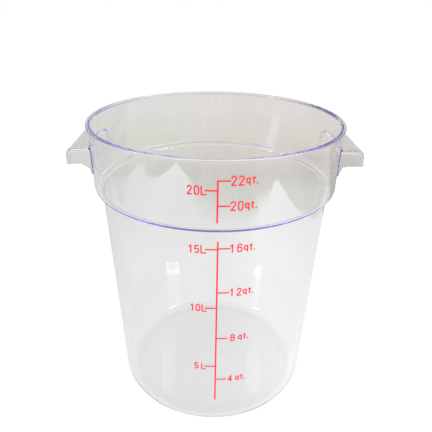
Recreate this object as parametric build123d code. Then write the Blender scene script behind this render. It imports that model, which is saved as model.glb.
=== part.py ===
from build123d import *
import os
from math import asin, cos, pi, sin, sqrt

# A clear round food container for proofing dough: one moulded tub with a wide
# band under its rim and two hollow lift handles, and a red scale in quarts and
# litres printed on its front. Millimetres. The origin is the middle of the
# foot, +Z is up, the handles lie along X and the scale faces -Y.

# Tub, from the rim inwards and down
height = 375.0
rim_radius = 159.5
rim_width = 2.8
rim_height = 3.8
rim_round = 1.5
mouth_round = 1.8
band_height = 81.8
band_flare = 2.2
band_round = 4.6
band_corner = 2.0
shoulder_width = 8.7
shoulder_round = 3.8
body_flare = 16.4
base_round = 13.5
foot_width = 11.0
foot_dish = 0.8
wall = 2.8
floor_thickness = 3.2

# Where the turned faces close, clear of the handles and the print, in degrees
seam_angle = 60.0

# Lift handles, one on each side, which stand out past the rim
handle_stand = 20.0
handle_drop = 28.6
handle_depth = 18.5
handle_width = 97.0
handle_lean = 3.0
handle_wall = 2.6
handle_end_round = 7.5
handle_side_round = 6.0
gusset_radius = 11.5
gusset_inset = 1.5
root_round = 2.5

# Printed scale, in two lines at the front, the lower one a little to the right. Of
# the numbers that it could show, it shows those whose level has room on the wall.
ink = 0.3
ink_spread = 60.0
line_width = 1.9
tick_width = 1.6
upper_tick = 12.0
lower_tick = 12.7
stroke = 1.5
upper_offset = 0.1
lower_offset = 1.4
upper_line_lift = 12.3
lower_line_drop = 11.0
lower_line_foot = 41.0
mark_clearance = 15.0
quart_marks = (4, 8, 12, 16, 20, 22, 24, 28, 32, 36, 40)
litre_marks = (5, 10, 15, 20, 25, 30, 35, 40)
litres_per_quart = 0.946353
cubic_mm_per_litre = 1e6

# How far some printed marks stand above their true level, as screen print does
quart_shift = {22: 0.7, 20: -1.1, 16: -1.0, 12: 1.8, 8: -0.9, 4: 0.6}
litre_shift = {20: 1.3, 10: 2.7, 5: 0.3}

# How far some printed labels stand to the right of their usual place
quart_slide = {16: -1.6, 12: -0.4, 8: 0.4, 4: -0.8}
litre_slide = {20: 0.3, 15: -1.3, 5: -0.3}

# Figures and letters, measured to the middle of their strokes
quart_figure = (4.5, 9.5)
litre_figure = (4.1, 8.9)
litre_letter = (4.8, 8.9)
unit_letter = (4.1, 5.6)
q_letter = (3.5, 5.6)
unit_drop = 3.35
unit_tail = 1.5
q_lift = 0.6
unit_rise = 1.3
dot_size = 1.9

# Places of figures and letters, measured from the middle of the scale line
band_start = 15.9
band_pitch = 7.5
body_start = 16.5
body_pitch = 8.9
single_start = 19.3
unit_gap = 6.8
single_unit_gap = 8.9
letter_pitch = 6.6
dot_gap = 2.9
litre_start = 14.1
litre_gap = 7.1
litre_pitch = 7.2
single_litre_gap = 8.9

# How near an edge lies to what it is looked for by
near = 1.0
exact = 0.01

# Sizes that follow from the ones above
rim_base = height - rim_height
shoulder_height = height - band_height
band_top_radius = rim_radius - rim_width
band_base_radius = band_top_radius - band_flare
body_top_radius = band_base_radius - shoulder_width
body_base_radius = body_top_radius - body_flare
handle_top = height - handle_drop
handle_base = handle_top - handle_depth
handle_reach = rim_radius + handle_stand
body_taper = (body_top_radius - body_base_radius) / shoulder_height
band_taper = (band_top_radius - band_base_radius) / (rim_base - shoulder_height)
foot_radius = body_base_radius - base_round
ledge_height = shoulder_height + wall


def body_radius(z):
    """Outside of the lower, tapered part."""
    return body_base_radius + body_taper * z


def band_radius(z):
    """Outside of the wide band under the rim."""
    return band_base_radius + band_taper * (z - shoulder_height)


def outside_radius(z):
    """Outside of the tub at a height."""
    return band_radius(z) if z > shoulder_height else body_radius(z)


def turned(points, rounds):
    """The solid that an outline in X and Z makes when it turns about Z."""
    outline = FilletPolyline(*points, radius=rounds, close=True)
    return Rot(0, 0, seam_angle) * revolve(Plane.XZ * make_face(outline), Axis.Z)


def tub_outside():
    """The tub without its hollow, from the dished underside of the floor to the rim."""
    points = [
        (0, foot_dish),
        (foot_radius - foot_width, 0),
        (body_base_radius, 0),
        (body_top_radius, shoulder_height),
        (band_base_radius, shoulder_height),
        (band_top_radius, rim_base),
        (rim_radius, rim_base),
        (rim_radius, height),
        (0, height),
    ]
    rounds = [0, 0, base_round, shoulder_round, band_round, 0, rim_round, rim_round, 0]
    return turned(points, rounds)


def tub_hollow():
    """What the tub holds, open through the rim."""
    above = height + rim_height
    mouth = band_radius(height) - wall
    points = [
        (0, floor_thickness),
        (body_radius(floor_thickness) - wall, floor_thickness),
        (body_radius(ledge_height) - wall, ledge_height),
        (band_radius(ledge_height) - wall, ledge_height),
        (mouth, height),
        (mouth + 2 * mouth_round, height),
        (mouth + 2 * mouth_round, above),
        (0, above),
    ]
    rounds = [0, base_round - wall, shoulder_round + wall, band_corner, mouth_round, 0, 0, 0]
    return turned(points, rounds)


def leaning_bar(inset):
    """A bar along X, as wide as a handle less an inset each side, narrower at its top."""
    slope = handle_lean / handle_depth
    low = handle_base - 2 * gusset_radius
    half_top = handle_width / 2 - handle_lean - inset
    half_low = half_top + slope * (handle_top - low)
    top = [(-half_top, handle_top), (half_top, handle_top)]
    foot = [(half_low, low), (-half_low, low)]
    return extrude(Plane.YZ * make_face(Polyline(*top, *foot, close=True)), amount=2 * handle_reach)


def end_edge(block):
    """The top edge across the outer end of a handle block."""
    return block.edges().filter_by(Axis.Y).group_by(Axis.X)[-1].sort_by(Axis.Z)[-1]


def shoulder_edges(block):
    """The edges that run along the top and down the end of both sides of a handle block."""
    found = ShapeList()
    for edge in block.edges():
        box = edge.bounding_box()
        beside = box.size.Y < handle_width / 4
        outside = box.max.X > foot_radius + near
        upper = box.max.Z > handle_top - handle_end_round - near
        if beside and outside and upper:
            found.append(edge)
    return found


def handle_outside():
    """One handle's outer form along +X, running into the tub at its root."""
    root_x = sqrt(band_radius(handle_base) ** 2 - (handle_width / 2) ** 2)
    arc_end = root_x + gusset_inset
    arc_start = arc_end + gusset_radius
    arc_middle = arc_start - gusset_radius * sin(pi / 4)
    arc_drop = gusset_radius * (1 - cos(pi / 4))
    low = handle_base - gusset_radius
    side = Curve() + [
        Polyline((arc_end, low), (foot_radius, low), (foot_radius, handle_top), (handle_reach, handle_top)),
        Polyline((handle_reach, handle_top), (handle_reach, handle_base), (arc_start, handle_base)),
        ThreePointArc((arc_start, handle_base), (arc_middle, handle_base - arc_drop), (arc_end, low)),
    ]
    block = extrude(Plane.XZ * make_face(side), amount=handle_width, both=True) & leaning_bar(0)
    block = fillet(end_edge(block), handle_end_round)
    return fillet(shoulder_edges(block), handle_side_round)


def handle_hollow():
    """The finger space under one handle, open downwards."""
    top = handle_top - handle_wall
    reach = handle_reach - handle_wall
    low = handle_base - 2 * gusset_radius
    side = Polyline((foot_radius, low), (foot_radius, top), (reach, top), (reach, low), close=True)
    block = extrude(Plane.XZ * make_face(side), amount=handle_width, both=True) & leaning_bar(handle_wall)
    block = fillet(end_edge(block), handle_end_round - handle_wall)
    return fillet(shoulder_edges(block), handle_side_round - handle_wall)


def root_edges(tub):
    """The edges where the tops and sides of both handles meet the band."""
    found = ShapeList()
    for edge in tub.edges():
        middle = edge @ 0.5
        on_band = abs(sqrt(middle.X**2 + middle.Y**2) - band_radius(middle.Z)) < exact
        beside = abs(middle.Y) < handle_width / 2 + handle_lean
        level_with = handle_base - gusset_radius < middle.Z < rim_base
        if on_band and beside and level_with and edge.bounding_box().max.Z > handle_base + near:
            found.append(edge)
    return found


def make_tub():
    """The whole moulding: tub, rim, band and both handles."""
    handle = handle_outside()
    tub = tub_outside() + handle + mirror(handle, Plane.YZ)
    tub = fillet(root_edges(tub), root_round)
    fingers = handle_hollow() - tub_outside()
    return tub - fingers - mirror(fingers, Plane.YZ) - tub_hollow()


def cone_litres(low, high, radius):
    """Litres inside the wall between two heights, where radius gives its outside."""
    inner_low = radius(low) - wall
    inner_high = radius(high) - wall
    volume = pi * (high - low) * (inner_low**2 + inner_low * inner_high + inner_high**2) / 3
    return volume / cubic_mm_per_litre


def litres_below(z):
    """Litres in the tub when it is filled to a height."""
    corner = base_round - wall
    corner_area = corner**2 * (1 - pi / 4)
    litres = cone_litres(floor_thickness, min(z, ledge_height), body_radius)
    litres -= 2 * pi * (body_base_radius - wall - corner / 4) * corner_area / cubic_mm_per_litre
    return litres + cone_litres(ledge_height, max(z, ledge_height), band_radius)


def level(litres):
    """The height that a volume fills the tub to, found by halving."""
    low, high = floor_thickness, 2 * height
    while high - low > exact / 10:
        middle = (low + high) / 2
        if litres_below(middle) < litres:
            low = middle
        else:
            high = middle
    return middle


def has_room(z):
    """Whether a mark and its figures fit at a height, on the band or on the body under it."""
    half = quart_figure[1] / 2 + stroke
    on_band = shoulder_height + band_round + half < z < height - mark_clearance
    on_body = base_round + half < z < shoulder_height - shoulder_round - half
    return on_band or on_body


def marks(numbers, litres_each, shift):
    """The height of each mark that has room, by its number."""
    heights = {n: level(n * litres_each) + shift.get(n, 0) for n in numbers}
    return {n: z for n, z in heights.items() if has_room(z)}


def ink_skin(low, high, radius):
    """A skin of ink on the front of the wall between two heights."""
    inside = [(radius(low), low), (radius(high), high)]
    outside = [(radius(high) + ink, high), (radius(low) + ink, low)]
    section = make_face(Plane.XZ * Polyline(*inside, *outside, close=True))
    return Rot(0, 0, -90 - ink_spread / 2) * revolve(section, Axis.Z, ink_spread)


def bar(x_low, x_high, z_low, z_high):
    """An upright block at the front of the tub, for cutting lines out of the ink."""
    size = (x_high - x_low, rim_radius, z_high - z_low)
    return Pos((x_low + x_high) / 2, -rim_radius, (z_low + z_high) / 2) * Box(*size)


def scale_line(middle, low, high, tick, right_marks, left_marks, skin):
    """One upright line of the scale with its ticks, as one patch of ink."""
    half = line_width / 2
    shape = bar(middle - half, middle + half, low, high)
    reach = half + tick
    for z in right_marks:
        shape += bar(middle, middle + reach, z - tick_width / 2, z + tick_width / 2)
    for z in left_marks:
        shape += bar(middle - reach, middle, z - tick_width / 2, z + tick_width / 2)
    return shape & skin


def figure_two(w, h):
    hook = CenterArc((w / 2, h - w / 2), w / 2, 170, -205)
    return [hook, Line(hook @ 1, (0, 0)), Line((0, 0), (w, 0))]


def figure_nought(w, h):
    top = CenterArc((w / 2, h - w / 2), w / 2, 0, 180)
    foot = CenterArc((w / 2, w / 2), w / 2, 180, 180)
    return [top, foot, Line(top @ 1, foot @ 0), Line(foot @ 1, top @ 0)]


def figure_one(w, h):
    stem = 0.72 * w
    return [Line((stem, 0), (stem, h)), Line((stem, h), (0.3 * w, 0.8 * h))]


def figure_three(w, h):
    top = CenterArc((w / 2, h - w / 2), w / 2, 150, -240)
    foot = CenterArc((w / 2, w / 2), w / 2, 90, -240)
    return [top, Line(top @ 1, foot @ 0), foot]


def figure_four(w, h):
    stem = 0.72 * w
    return [Line((stem, h), (0, 0.27 * h)), Line((0, 0.27 * h), (w, 0.27 * h)), Line((stem, h), (stem, 0))]


def figure_five(w, h):
    bowl = CenterArc((w / 2, 0.6 * h - w / 2), w / 2, 150, -150)
    foot = CenterArc((w / 2, w / 2), w / 2, 0, -150)
    corner = (0.06 * w, h)
    return [Line((0.95 * w, h), corner), Line(corner, bowl @ 0), bowl, Line(bowl @ 1, foot @ 0), foot]


def figure_six(w, h):
    top = CenterArc((w / 2, h - w / 2), w / 2, 180, -155)
    foot = CenterArc((w / 2, w / 2), w / 2, 180, 180)
    bowl = CenterArc((w / 2, 0.62 * h - w / 2), w / 2, 180, -180)
    return [top, Line(top @ 0, foot @ 0), foot, bowl, Line(foot @ 1, bowl @ 1)]


def figure_eight(w, h):
    waist = 0.54 * h
    small = 0.44 * w
    loops = [(w / 2, 0, waist), (small, waist, h)]
    edges = []
    for radius, low, high in loops:
        foot = CenterArc((w / 2, low + radius), radius, 180, 180)
        top = CenterArc((w / 2, high - radius), radius, 0, 180)
        edges += [foot, top, Line(foot @ 1, top @ 0), Line(top @ 1, foot @ 0)]
    return edges


def letter_litre(w, h):
    return [Line((0, h), (0, 0)), Line((0, 0), (w, 0))]


def letter_q(w, h):
    top = CenterArc((w / 2, h - w / 2), w / 2, 0, 180)
    foot = CenterArc((w / 2, w / 2 + q_lift), w / 2, 180, 180)
    return [top, foot, Line(top @ 1, foot @ 0), Line((w, -unit_tail), (w, h))]


def letter_t(w, h):
    stem = 0.25 * w
    turn = 0.2 * w
    foot = CenterArc((stem + turn, turn), turn, 180, 90)
    return [Line((stem, h + unit_rise), foot @ 0), foot, Line((0, h), (0.55 * w, h))]


FIGURES = {
    "0": figure_nought,
    "1": figure_one,
    "2": figure_two,
    "3": figure_three,
    "4": figure_four,
    "5": figure_five,
    "6": figure_six,
    "8": figure_eight,
}


def glyph(draw, size):
    """A figure or letter as a flat shape of ink, with its foot on the line y = 0."""
    return Pos(-size[0] / 2, 0) * (Sketch() + [SlotArc(edge, stroke) for edge in draw(*size)])


def on_wall(flat, x, foot, mark, skin):
    """A flat shape laid on the wall, x along it from the scale line of the mark, its foot at a height."""
    radius = outside_radius(mark)
    offset = upper_offset if mark > shoulder_height else lower_offset
    turn = asin(offset / radius) + x / radius
    face = Plane(
        origin=(radius * sin(turn), -radius * cos(turn), foot),
        x_dir=(cos(turn), sin(turn), 0),
        z_dir=(sin(turn), -cos(turn), 0),
    )
    return extrude(face * flat, amount=wall, both=True) & skin


def quart_label(quarts, mark, skin):
    """The figures, q, t and full stop to the right of a quart mark."""
    text = str(quarts)
    start = band_start if mark > shoulder_height else body_start
    pitch = band_pitch if mark > shoulder_height else body_pitch
    gap = unit_gap
    if len(text) == 1:
        start = single_start
        gap = single_unit_gap
    pieces = []
    x = start + quart_slide.get(quarts, 0)
    for figure in text:
        shape = glyph(FIGURES[figure], quart_figure)
        pieces.append(on_wall(shape, x, mark - quart_figure[1] / 2, mark, skin))
        x += pitch
    x += gap - pitch
    pieces.append(on_wall(glyph(letter_q, q_letter), x, mark - unit_drop, mark, skin))
    x += letter_pitch
    pieces.append(on_wall(glyph(letter_t, unit_letter), x, mark - unit_drop, mark, skin))
    x += dot_gap
    pieces.append(on_wall(Circle(dot_size / 2), x, mark - unit_drop, mark, skin))
    return pieces


def litre_label(litres, mark, skin):
    """The letter and figures to the left of a litre mark."""
    foot = mark - litre_figure[1] / 2
    x = litre_slide.get(litres, 0) - litre_start
    pieces = [on_wall(glyph(letter_litre, litre_letter), x, foot, mark, skin)]
    text = str(litres)
    x -= litre_gap if len(text) > 1 else single_litre_gap
    for figure in reversed(text):
        pieces.append(on_wall(glyph(FIGURES[figure], litre_figure), x, foot, mark, skin))
        x -= litre_pitch
    return pieces


def write(name, solids):
    """One node of the part."""
    node = Compound(label=name, children=solids)
    export_step(node, f"parts/{name}.step")


os.makedirs("parts", exist_ok=True)
write("container_body", make_tub().solids())

quarts = marks(quart_marks, litres_per_quart, quart_shift)
litres = marks(litre_marks, 1, litre_shift)

band_foot = shoulder_height + band_round
body_top = shoulder_height - shoulder_round
walls = {"upper": (band_foot, rim_base, band_radius), "lower": (base_round, body_top, body_radius)}
upper_ends = (shoulder_height + upper_line_lift, band_foot)
lower_ends = (lower_line_foot, body_top - lower_line_drop)
ends = {"upper": upper_ends, "lower": lower_ends}
middles = {"upper": upper_offset, "lower": lower_offset}
tick_lengths = {"upper": upper_tick, "lower": lower_tick}
for name, (low, high, radius) in walls.items():
    skin = ink_skin(low, high, radius)
    right = {n: z for n, z in quarts.items() if low < z < high}
    left = {n: z for n, z in litres.items() if low < z < high}
    ticks = [*right.values(), *left.values()]
    if ticks:
        foot = min(ends[name][0], min(ticks) - tick_width / 2)
        top = max(ends[name][1], max(ticks) + tick_width / 2)
        middle, tick = middles[name], tick_lengths[name]
        line = scale_line(middle, foot, top, tick, right.values(), left.values(), skin)
        write(f"scale_line_{name}", line.solids())
    for n, mark in right.items():
        write(f"label_{n}_quart", quart_label(n, mark, skin))
    for n, mark in left.items():
        write(f"label_{n}_litre", litre_label(n, mark, skin))
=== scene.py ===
import math

import bpy
from mathutils import Matrix, Vector

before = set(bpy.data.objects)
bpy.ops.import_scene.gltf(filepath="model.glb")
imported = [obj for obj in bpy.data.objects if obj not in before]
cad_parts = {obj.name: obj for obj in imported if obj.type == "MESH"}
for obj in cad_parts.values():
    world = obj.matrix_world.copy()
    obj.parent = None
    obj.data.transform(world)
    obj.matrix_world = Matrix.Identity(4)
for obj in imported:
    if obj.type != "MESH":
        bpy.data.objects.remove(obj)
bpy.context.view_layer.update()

TUB = "container_body"


# Node helpers


def material(name):
    """A new node material with nothing in it but its output."""
    made = bpy.data.materials.new(name)
    made.use_nodes = True
    made.node_tree.nodes.clear()
    made.node_tree.nodes.new("ShaderNodeOutputMaterial")
    return made


def node(tree, kind, inputs=None, **settings):
    """A node with its settings, and with its inputs either set or linked."""
    made = tree.nodes.new("ShaderNode" + kind)
    for name, value in settings.items():
        setattr(made, name, value)
    for name, value in (inputs or {}).items():
        if isinstance(value, bpy.types.NodeSocket):
            tree.links.new(value, made.inputs[name])
        else:
            made.inputs[name].default_value = value
    return made


def output(tree, **links):
    """Links shaders to the tree's output, by the output's own names."""
    end = next(n for n in tree.nodes if n.type.startswith("OUTPUT"))
    for name, socket in links.items():
        tree.links.new(socket, end.inputs[name])


def colour_ramp(tree, factor, stops):
    """A ramp through (position, colour) stops."""
    made = node(tree, "ValToRGB", {"Fac": factor})
    elements = made.color_ramp.elements
    while len(elements) < len(stops):
        elements.new(0.5)
    for element, (position, colour) in zip(elements, stops):
        element.position = position
        element.color = (*colour, 1)
    return made.outputs["Color"]


def spread(tree, value, low, high, from_low=0.3, from_high=0.7):
    """A value's middle range stretched to run from low to high."""
    inputs = {"Value": value, "From Min": from_low, "From Max": from_high,
              "To Min": low, "To Max": high}
    return node(tree, "MapRange", inputs).outputs["Result"]


def noise(tree, place, scale, detail=2.0):
    """Soft noise over the piece's own coordinates."""
    inputs = {"Vector": place, "Scale": scale, "Detail": detail, "Roughness": 0.5}
    return node(tree, "TexNoise", inputs).outputs["Fac"]


def object_place(tree):
    """The piece's own coordinates, in metres."""
    return node(tree, "TexCoord").outputs["Object"]


def stretched(tree, place, scale):
    """Coordinates scaled apart on each axis, for a pattern with a direction."""
    return node(tree, "Mapping", {"Vector": place, "Scale": scale}).outputs["Vector"]


def maths(tree, operation, first, second=0.0, third=0.0):
    """One sum over numbers or sockets."""
    inputs = {0: first, 1: second, 2: third}
    return node(tree, "Math", inputs, operation=operation).outputs["Value"]


def curve(tree, value, points):
    """A number that follows points (value, number), straight between them."""
    low, high = points[0][0], points[-1][0]
    share = spread(tree, value, 0.0, 1.0, from_low=low, from_high=high)
    stops = [((at - low) / (high - low), (level, level, level)) for at, level in points]
    return colour_ramp(tree, share, stops)


def eased(tree, value, low, high):
    """0 below one value and 1 above another, with a soft step between."""
    inputs = {"Value": value, "From Min": low, "From Max": high, "To Min": 0.0, "To Max": 1.0}
    return node(tree, "MapRange", inputs, interpolation_type="SMOOTHSTEP").outputs["Result"]


def blended(tree, share, first, second):
    """A colour between two colours, each a tuple or a socket."""
    made = node(tree, "Mix", data_type="RGBA")
    factor, colour_a, colour_b = made.inputs[0], made.inputs[6], made.inputs[7]
    for socket, value in ((factor, share), (colour_a, first), (colour_b, second)):
        if isinstance(value, bpy.types.NodeSocket):
            tree.links.new(value, socket)
        else:
            socket.default_value = (*value, 1)
    colour = made.outputs[2]
    return colour


def tinted(tree, colour, tone):
    """A colour times a lightness, or times another colour."""
    made = node(tree, "VectorMath", {0: colour, 1: tone}, operation="MULTIPLY")
    return made.outputs["Vector"]


def shown_apart(tree, to_camera, to_the_rest):
    """One shader for what the camera sees directly and another for all other light."""
    camera_ray = node(tree, "LightPath").outputs["Is Camera Ray"]
    both = node(tree, "MixShader", {"Fac": camera_ray})
    tree.links.new(to_the_rest, both.inputs[1])
    tree.links.new(to_camera, both.inputs[2])
    output(tree, Surface=both.outputs["Shader"])


# The container's plastic and its print

FAINT_CLOUDS = [(0.3, (0.985, 0.985, 0.985)), (0.7, (1.0, 1.0, 1.0))]
INK_REDS = [(0.3, (1.0, 0.035, 0.06)), (0.7, (0.93, 0.025, 0.045))]
PLASTIC_IOR = 1.58
# What light keeps of its colour on a long way through the plastic
VIOLET = (0.28, 0.12, 0.88, 1)
VIOLET_DENSITY = 2.0


def clear_polycarbonate():
    """Clear moulded plastic, faintly violet where light travels along inside the wall."""
    made = material("clear_polycarbonate")
    tree = made.node_tree
    place = object_place(tree)
    cloud = noise(tree, place, 16.0, detail=3.0)
    colour = colour_ramp(tree, cloud, FAINT_CLOUDS)
    handling = noise(tree, place, 45.0, detail=4.0)
    roughness = spread(tree, handling, 0.012, 0.035)
    flow = noise(tree, stretched(tree, place, (22.0, 22.0, 6.0)), 1.0, detail=1.0)
    bump = node(tree, "Bump", {"Height": flow, "Strength": 0.3, "Distance": 0.0001})
    plastic = node(tree, "BsdfPrincipled", {
        "Base Color": colour,
        "Roughness": roughness,
        "Normal": bump.outputs["Normal"],
        "IOR": PLASTIC_IOR,
        "Transmission Weight": 1.0,
    })
    tint = node(tree, "VolumeAbsorption", {"Color": VIOLET, "Density": VIOLET_DENSITY})
    output(tree, Surface=plastic.outputs["BSDF"], Volume=tint.outputs["Volume"])
    return made


def red_print():
    """Screen-printed red ink, a little thinner in places."""
    made = material("red_print")
    tree = made.node_tree
    place = object_place(tree)
    patch = noise(tree, place, 120.0, detail=4.0)
    colour = colour_ramp(tree, patch, INK_REDS)
    roughness = spread(tree, noise(tree, place, 400.0), 0.30, 0.42)
    screen = noise(tree, place, 1500.0, detail=1.0)
    bump = node(tree, "Bump", {"Height": screen, "Strength": 0.25, "Distance": 0.00008})
    ink = node(tree, "BsdfPrincipled", {
        "Base Color": colour,
        "Roughness": roughness,
        "Normal": bump.outputs["Normal"],
    })
    output(tree, Surface=ink.outputs["BSDF"])
    return made


def dress_container():
    """Gives the moulding and its print their materials."""
    plastic, ink = clear_polycarbonate(), red_print()
    for name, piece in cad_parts.items():
        piece.material_slots[0].material = plastic if name == TUB else ink


# The studio. It stands a little askew to the container, which is what turns the
# handles and the print in the picture. Its places are in metres on the floor.

STUDIO_TURN = Matrix.Rotation(math.radians(-1.07), 4, "Z")
FLOOR_HALF = 9.0
FLOOR_DROP = 0.0004
# To the camera the floor is this much white of its own and this much lit by the lamps
OWN_WHITE = 0.9
LIT_WHITE = 0.16

# Where the pale sheet under the container ends, as the far edge's y along x
SHEET_EDGE = [
    (-0.50, 0.56), (-0.320, 0.60), (-0.295, 0.66), (-0.275, 0.70), (-0.262, 0.78), (-0.242, 0.80),
    (-0.222, 0.72), (-0.200, 0.70), (-0.172, 0.720), (-0.153, 0.770), (-0.134, 0.850),
    (-0.112, 0.788), (-0.087, 0.723), (-0.070, 0.65), (-0.058, 0.50), (-0.041, 0.42),
    (0.063, 0.36), (0.094, 0.37), (0.109, 0.40), (0.124, 0.48), (0.150, 0.53),
    (0.160, 0.60), (0.181, 0.690), (0.194, 0.710), (0.200, 0.665), (0.208, 0.612),
    (0.214, 0.563), (0.222, 0.520), (0.232, 0.490), (0.259, 0.460), (0.283, 0.44), (0.50, 0.40),
]
# How softly the sheet's shade runs into the table's past that edge, along x
EDGE_SOFTNESS = [(-0.50, 0.20), (-0.25, 0.08), (-0.14, 0.02), (-0.10, 0.03), (-0.075, 0.05),
                 (-0.055, 0.20), (-0.03, 0.25), (0.12, 0.20), (0.15, 0.13), (0.165, 0.03),
                 (0.50, 0.04)]
# The sheet's lightness along x, which is painted light that falls from the right, how much of it is
# lost farther off, and where along y
SHEET_PAINTED_LIGHT = [(-0.35, 0.74), (-0.25, 0.78), (-0.16, 0.845), (-0.08, 0.85), (0.0, 0.84),
              (0.05, 0.87), (0.10, 0.95), (0.14, 0.94), (0.20, 0.91), (0.30, 0.87)]
SHEET_FALL = [(-0.35, 0.04), (-0.14, 0.05), (-0.08, 0.085), (0.0, 0.085), (0.10, 0.04), (0.35, 0.035)]
SHEET_FALL_Y = (0.20, 0.50)

# The foot's flat ring as distances from its middle, how softly its shade begins and ends,
# how much light reaches the sheet inside it, and how much less under the ring itself
FOOT_REACH = 0.116
FOOT_RING = 0.105
REACH_SOFTNESS = 0.002
RING_SOFTNESS = 0.004
UNDER_FOOT = 0.958
RING_SHADE = 0.035

# The table's lightness along y, and along x as far as SIDES_END_Y
TABLE_TONE = [(0.40, 0.62), (0.60, 0.62), (0.68, 0.595), (0.75, 0.56), (0.90, 0.62), (1.20, 0.68),
              (1.60, 0.72)]
TABLE_SIDE = [(-0.50, 0.96), (-0.35, 1.12), (-0.10, 1.0), (0.10, 1.0), (0.18, 1.07), (0.25, 1.03),
              (0.33, 0.80), (0.50, 0.80)]
SIDES_END_Y = (0.90, 1.05)
# The table's colours, and where one runs into the next
TABLE_OLIVE = (1.0, 1.005, 0.905)
TABLE_PINK = (1.045, 0.975, 0.895)
TABLE_LEFT = (1.015, 1.0, 0.95)
FAR_TINT = (1.0, 1.0, 1.07)
PINK_FROM_X, PINK_FROM_Y = (-0.16, 0.0), (0.68, 0.85)
LEFT_UNTIL_X = (-0.41, -0.35)
FAR_FROM_Y = (1.2, 1.6)
# Painted highlights, as pale lines on the table: x where they'd meet y = 0, lean, half width, reach
# in y, lightness
PAINTED_HIGHLIGHT_LINES = [(-0.021, -0.0259, 0.003, 0.65, 1.45, 0.06), (0.0454, 0.0243, 0.002, 0.40, 0.87, 0.06)]
# A painted streak of light in pale grey, given as those painted highlight lines are but for its last
# number, which is how far it covers
PAINTED_LIGHT_STRIP = (0.0019, 0.1856, 0.026, 1.0, 1.55, 0.8)
STRIP_GREY = (0.765, 0.765, 0.765)
# A line is full within this share of its half width, and its ends fade over these lengths
LINE_CORE = 0.4
LINE_START = 0.05
LINE_END = 0.1
# Faint streaks along the table, and how far they lighten and darken it
STREAK_SCALE = (22.0, 1.6, 1.0)
STREAK_TONES = (0.975, 1.025)


def painted_streak(tree, x, y, foot, lean, half_width, near, far, strength):
    """How far one painted highlight streak along the table lightens or covers it, 0 beside the
    streak.
    """
    middle = maths(tree, "MULTIPLY_ADD", y, lean, foot)
    off = maths(tree, "ABSOLUTE", maths(tree, "SUBTRACT", x, middle))
    within = maths(tree, "SUBTRACT", 1.0, eased(tree, off, LINE_CORE * half_width, half_width))
    begun = eased(tree, y, near, near + LINE_START)
    ended = maths(tree, "SUBTRACT", 1.0, eased(tree, y, far - LINE_END, far))
    reach = maths(tree, "MULTIPLY", begun, ended)
    return maths(tree, "MULTIPLY", maths(tree, "MULTIPLY", within, reach), strength)


def table_colour(tree, place, x, y):
    """The table past the sheet: olive to pink, bluer far off, with streaks, and with painted
    highlight lines and a painted light strip.
    """
    streaks = noise(tree, stretched(tree, place, STREAK_SCALE), 1.0)
    tone = maths(tree, "MULTIPLY", curve(tree, y, TABLE_TONE), spread(tree, streaks, *STREAK_TONES))
    side = blended(tree, eased(tree, y, *SIDES_END_Y), curve(tree, x, TABLE_SIDE), (1.0, 1.0, 1.0))
    tone = maths(tree, "MULTIPLY", tone, side)
    # Painted highlight lines lighten the table
    for line in PAINTED_HIGHLIGHT_LINES:
        tone = maths(tree, "ADD", tone, painted_streak(tree, x, y, *line))
    pinkness = maths(tree, "MULTIPLY", eased(tree, x, *PINK_FROM_X), eased(tree, y, *PINK_FROM_Y))
    near = blended(tree, pinkness, TABLE_OLIVE, TABLE_PINK)
    near = blended(tree, eased(tree, x, *LEFT_UNTIL_X), TABLE_LEFT, near)
    far = tinted(tree, near, FAR_TINT)
    table = tinted(tree, blended(tree, eased(tree, y, *FAR_FROM_Y), near, far), tone)
    return blended(tree, painted_streak(tree, x, y, *PAINTED_LIGHT_STRIP), table, STRIP_GREY)


def foot_shade(tree, place):
    """How much light reaches the sheet under the foot and past it."""
    flat = node(tree, "VectorMath", {0: place, 1: (1, 1, 0)}, operation="MULTIPLY").outputs["Vector"]
    away = node(tree, "VectorMath", {0: flat}, operation="LENGTH").outputs["Value"]
    open_floor = eased(tree, away, FOOT_REACH - REACH_SOFTNESS, FOOT_REACH + REACH_SOFTNESS)
    past_dish = eased(tree, away, FOOT_RING - RING_SOFTNESS, FOOT_RING)
    ring = maths(tree, "SUBTRACT", past_dish, open_floor)
    lit = maths(tree, "MULTIPLY_ADD", open_floor, 1.0 - UNDER_FOOT, UNDER_FOOT)
    return maths(tree, "MULTIPLY_ADD", ring, -RING_SHADE, lit)


def sheet_colour(tree, place, x, y):
    """The pale sheet under the container, in soft shades of grey that are painted light from the
    right and painted shadow under the foot.
    """
    tone = maths(tree, "MULTIPLY", curve(tree, x, SHEET_PAINTED_LIGHT), foot_shade(tree, place))
    fallen = maths(tree, "MULTIPLY", eased(tree, y, *SHEET_FALL_Y), curve(tree, x, SHEET_FALL))
    tone = maths(tree, "MULTIPLY", tone, maths(tree, "SUBTRACT", 1.0, fallen))
    return tinted(tree, colour_ramp(tree, noise(tree, place, 9.0), FAINT_CLOUDS), tone)


def shadowed_white(tree):
    """White with the container's shadow on it."""
    own = node(tree, "Emission", {"Color": (1, 1, 1, 1), "Strength": OWN_WHITE})
    lit = node(tree, "BsdfDiffuse", {"Color": (LIT_WHITE, LIT_WHITE, LIT_WHITE, 1)})
    white = node(tree, "AddShader")
    tree.links.new(own.outputs["Emission"], white.inputs[0])
    tree.links.new(lit.outputs["BSDF"], white.inputs[1])
    return white.outputs["Shader"]


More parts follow.
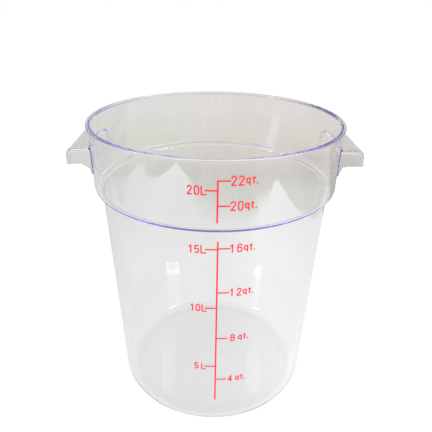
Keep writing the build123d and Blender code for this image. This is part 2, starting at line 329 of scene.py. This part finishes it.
def floor_material():
    """White to the camera, and sheet and table, which glow with their light and shade painted in, to
    all light that comes through the plastic.
    """
    made = material("sheet_and_table")
    tree = made.node_tree
    place = object_place(tree)
    parts = node(tree, "SeparateXYZ", {"Vector": place})
    x, y = parts.outputs["X"], parts.outputs["Y"]
    past_edge = maths(tree, "SUBTRACT", y, curve(tree, x, SHEET_EDGE))
    share = maths(tree, "DIVIDE", past_edge, curve(tree, x, EDGE_SOFTNESS))
    surface = blended(tree, eased(tree, share, 0.0, 1.0), sheet_colour(tree, place, x, y),
                      table_colour(tree, place, x, y))
    # The sheet and table glow with their colour and their painted light and shade, though they are no
    # lamp
    seen_through = node(tree, "Emission", {"Color": surface, "Strength": 1.0})
    shown_apart(tree, shadowed_white(tree), seen_through.outputs["Emission"])
    return made


def studio_floor():
    """One wide floor for the sheet and the table, just under the container."""
    corners = [(-FLOOR_HALF, -FLOOR_HALF, 0), (FLOOR_HALF, -FLOOR_HALF, 0),
               (FLOOR_HALF, FLOOR_HALF, 0), (-FLOOR_HALF, FLOOR_HALF, 0)]
    mesh = bpy.data.meshes.new("studio_floor")
    mesh.from_pydata(corners, [], [(0, 1, 2, 3)])
    mesh.materials.append(floor_material())
    floor = bpy.data.objects.new("studio_floor", mesh)
    bpy.context.scene.collection.objects.link(floor)
    floor.matrix_world = STUDIO_TURN @ Matrix.Translation((0, 0, -FLOOR_DROP))


# The room's walls by height, its one window, and the bright wall behind the camera
WALLS = [(0.0, (0.70, 0.695, 0.66)), (0.3, (0.58, 0.575, 0.55)), (0.8, (0.50, 0.50, 0.49))]
WINDOW_WAY = (-0.285, 0.827, 0.485)
WINDOW_LIGHT = (2.4, 2.4, 2.45)
WINDOW_CORE = math.radians(6)
WINDOW_RIM = math.radians(11)
FRONT_WALL = (1.15, 1.15, 1.15)
FRONT_WALL_Y = (-0.25, -0.75)


def studio_room():
    """A world that is white to the camera and a grey room with a window to everything else."""
    world = bpy.data.worlds.new("studio_room")
    bpy.context.scene.world = world
    world.use_nodes = True
    tree = world.node_tree
    tree.nodes.clear()
    tree.nodes.new("ShaderNodeOutputWorld")
    direction = node(tree, "TexCoord").outputs["Generated"]
    parts = node(tree, "SeparateXYZ", {"Vector": direction})
    forward, height = parts.outputs["Y"], parts.outputs["Z"]
    walls = colour_ramp(tree, height, WALLS)
    toward = node(tree, "VectorMath", {0: direction, 1: WINDOW_WAY}, operation="DOT_PRODUCT")
    window = eased(tree, toward.outputs["Value"], math.cos(WINDOW_RIM), math.cos(WINDOW_CORE))
    room = blended(tree, window, walls, WINDOW_LIGHT)
    room = blended(tree, eased(tree, forward, *FRONT_WALL_Y), room, FRONT_WALL)
    seen = node(tree, "Background", {"Color": room, "Strength": 1.0})
    white = node(tree, "Background", {"Color": (1, 1, 1, 1), "Strength": 1.0})
    shown_apart(tree, white.outputs["Background"], seen.outputs["Background"])


# Each lamp's name, its turn to the right from the camera's side and its rise, both in degrees,
# its width and height in metres, and its watts
LAMPS = [
    ("high_right", 80, 51, 0.36, 0.22, 0.7),
    ("high_left", -75, 51, 0.30, 0.28, 0.8),
    ("low_right", 61.0, 19.05, 0.43, 0.062, 4.9),
    ("low_right_glow", 61.0, 24.3, 0.43, 0.15, 0.6),
    ("low_left", -66.3, 19.25, 0.21, 0.058, 3.2),
    ("low_left_glow", -66.5, 24.3, 0.22, 0.15, 0.4),
]
LAMP_DISTANCE = 1.3
LAMPS_AIM = Vector((0, 0, 0.19))


def softbox(name, azimuth, elevation, width, height, power):
    """A soft lamp that faces the middle of the container."""
    turn, rise = math.radians(azimuth), math.radians(elevation)
    away = Vector((math.sin(turn) * math.cos(rise), -math.cos(turn) * math.cos(rise), math.sin(rise)))
    lamp = bpy.data.lights.new(name, "AREA")
    lamp.shape = "RECTANGLE"
    lamp.size, lamp.size_y = width, height
    lamp.energy = power
    made = bpy.data.objects.new(name, lamp)
    bpy.context.scene.collection.objects.link(made)
    middle = Matrix.Translation(LAMPS_AIM + away * LAMP_DISTANCE)
    made.matrix_world = STUDIO_TURN @ middle @ away.to_track_quat("Z", "Y").to_matrix().to_4x4()


# The camera's place in the studio, and its turns in radians
CAMERA_PLACE = (0.000871, -0.580103, 0.526216)
CAMERA_PITCH, CAMERA_ROLL, CAMERA_PAN = 0.402, 0.015, 0.001
SENSOR_WIDTH = 36.0
# In pixels of a picture that is IMAGE_SIDE wide and high: focal length and the lens axis's row
IMAGE_SIDE = 432
FOCAL_PIXELS = 472.119
AXIS_ROW = 187


def photograph_camera():
    """The camera that was fitted to the container's edges in the photograph."""
    forward = Vector((math.sin(CAMERA_PAN) * math.cos(CAMERA_PITCH),
                      math.cos(CAMERA_PAN) * math.cos(CAMERA_PITCH),
                      -math.sin(CAMERA_PITCH)))
    level = Vector((math.cos(CAMERA_PAN), -math.sin(CAMERA_PAN), 0))
    upright = level.cross(forward)
    right = math.cos(CAMERA_ROLL) * level + math.sin(CAMERA_ROLL) * upright
    up = -math.sin(CAMERA_ROLL) * level + math.cos(CAMERA_ROLL) * upright
    lens = bpy.data.cameras.new("photograph")
    lens.sensor_width = SENSOR_WIDTH
    lens.lens = FOCAL_PIXELS * SENSOR_WIDTH / IMAGE_SIDE
    lens.shift_y = (AXIS_ROW - IMAGE_SIDE / 2) / IMAGE_SIDE
    lens.clip_start = 0.01
    made = bpy.data.objects.new("photograph", lens)
    bpy.context.scene.collection.objects.link(made)
    axes = Matrix((right, up, -forward)).transposed().to_4x4()
    made.matrix_world = STUDIO_TURN @ Matrix.Translation(CAMERA_PLACE) @ axes
    bpy.context.scene.camera = made


# Light turns back many times inside the rim and the band's foot before it leaves them
LIGHT_BOUNCES = 400


def long_light_paths():
    """Lets light run on inside the plastic, so that its thick edges don't turn black."""
    light_paths = bpy.context.scene.cycles
    light_paths.max_bounces = LIGHT_BOUNCES
    light_paths.glossy_bounces = LIGHT_BOUNCES
    light_paths.transmission_bounces = LIGHT_BOUNCES


dress_container()
studio_floor()
studio_room()
for lamp_values in LAMPS:
    softbox(*lamp_values)
photograph_camera()
long_light_paths()
bpy.context.scene.view_settings.view_transform = "Standard"
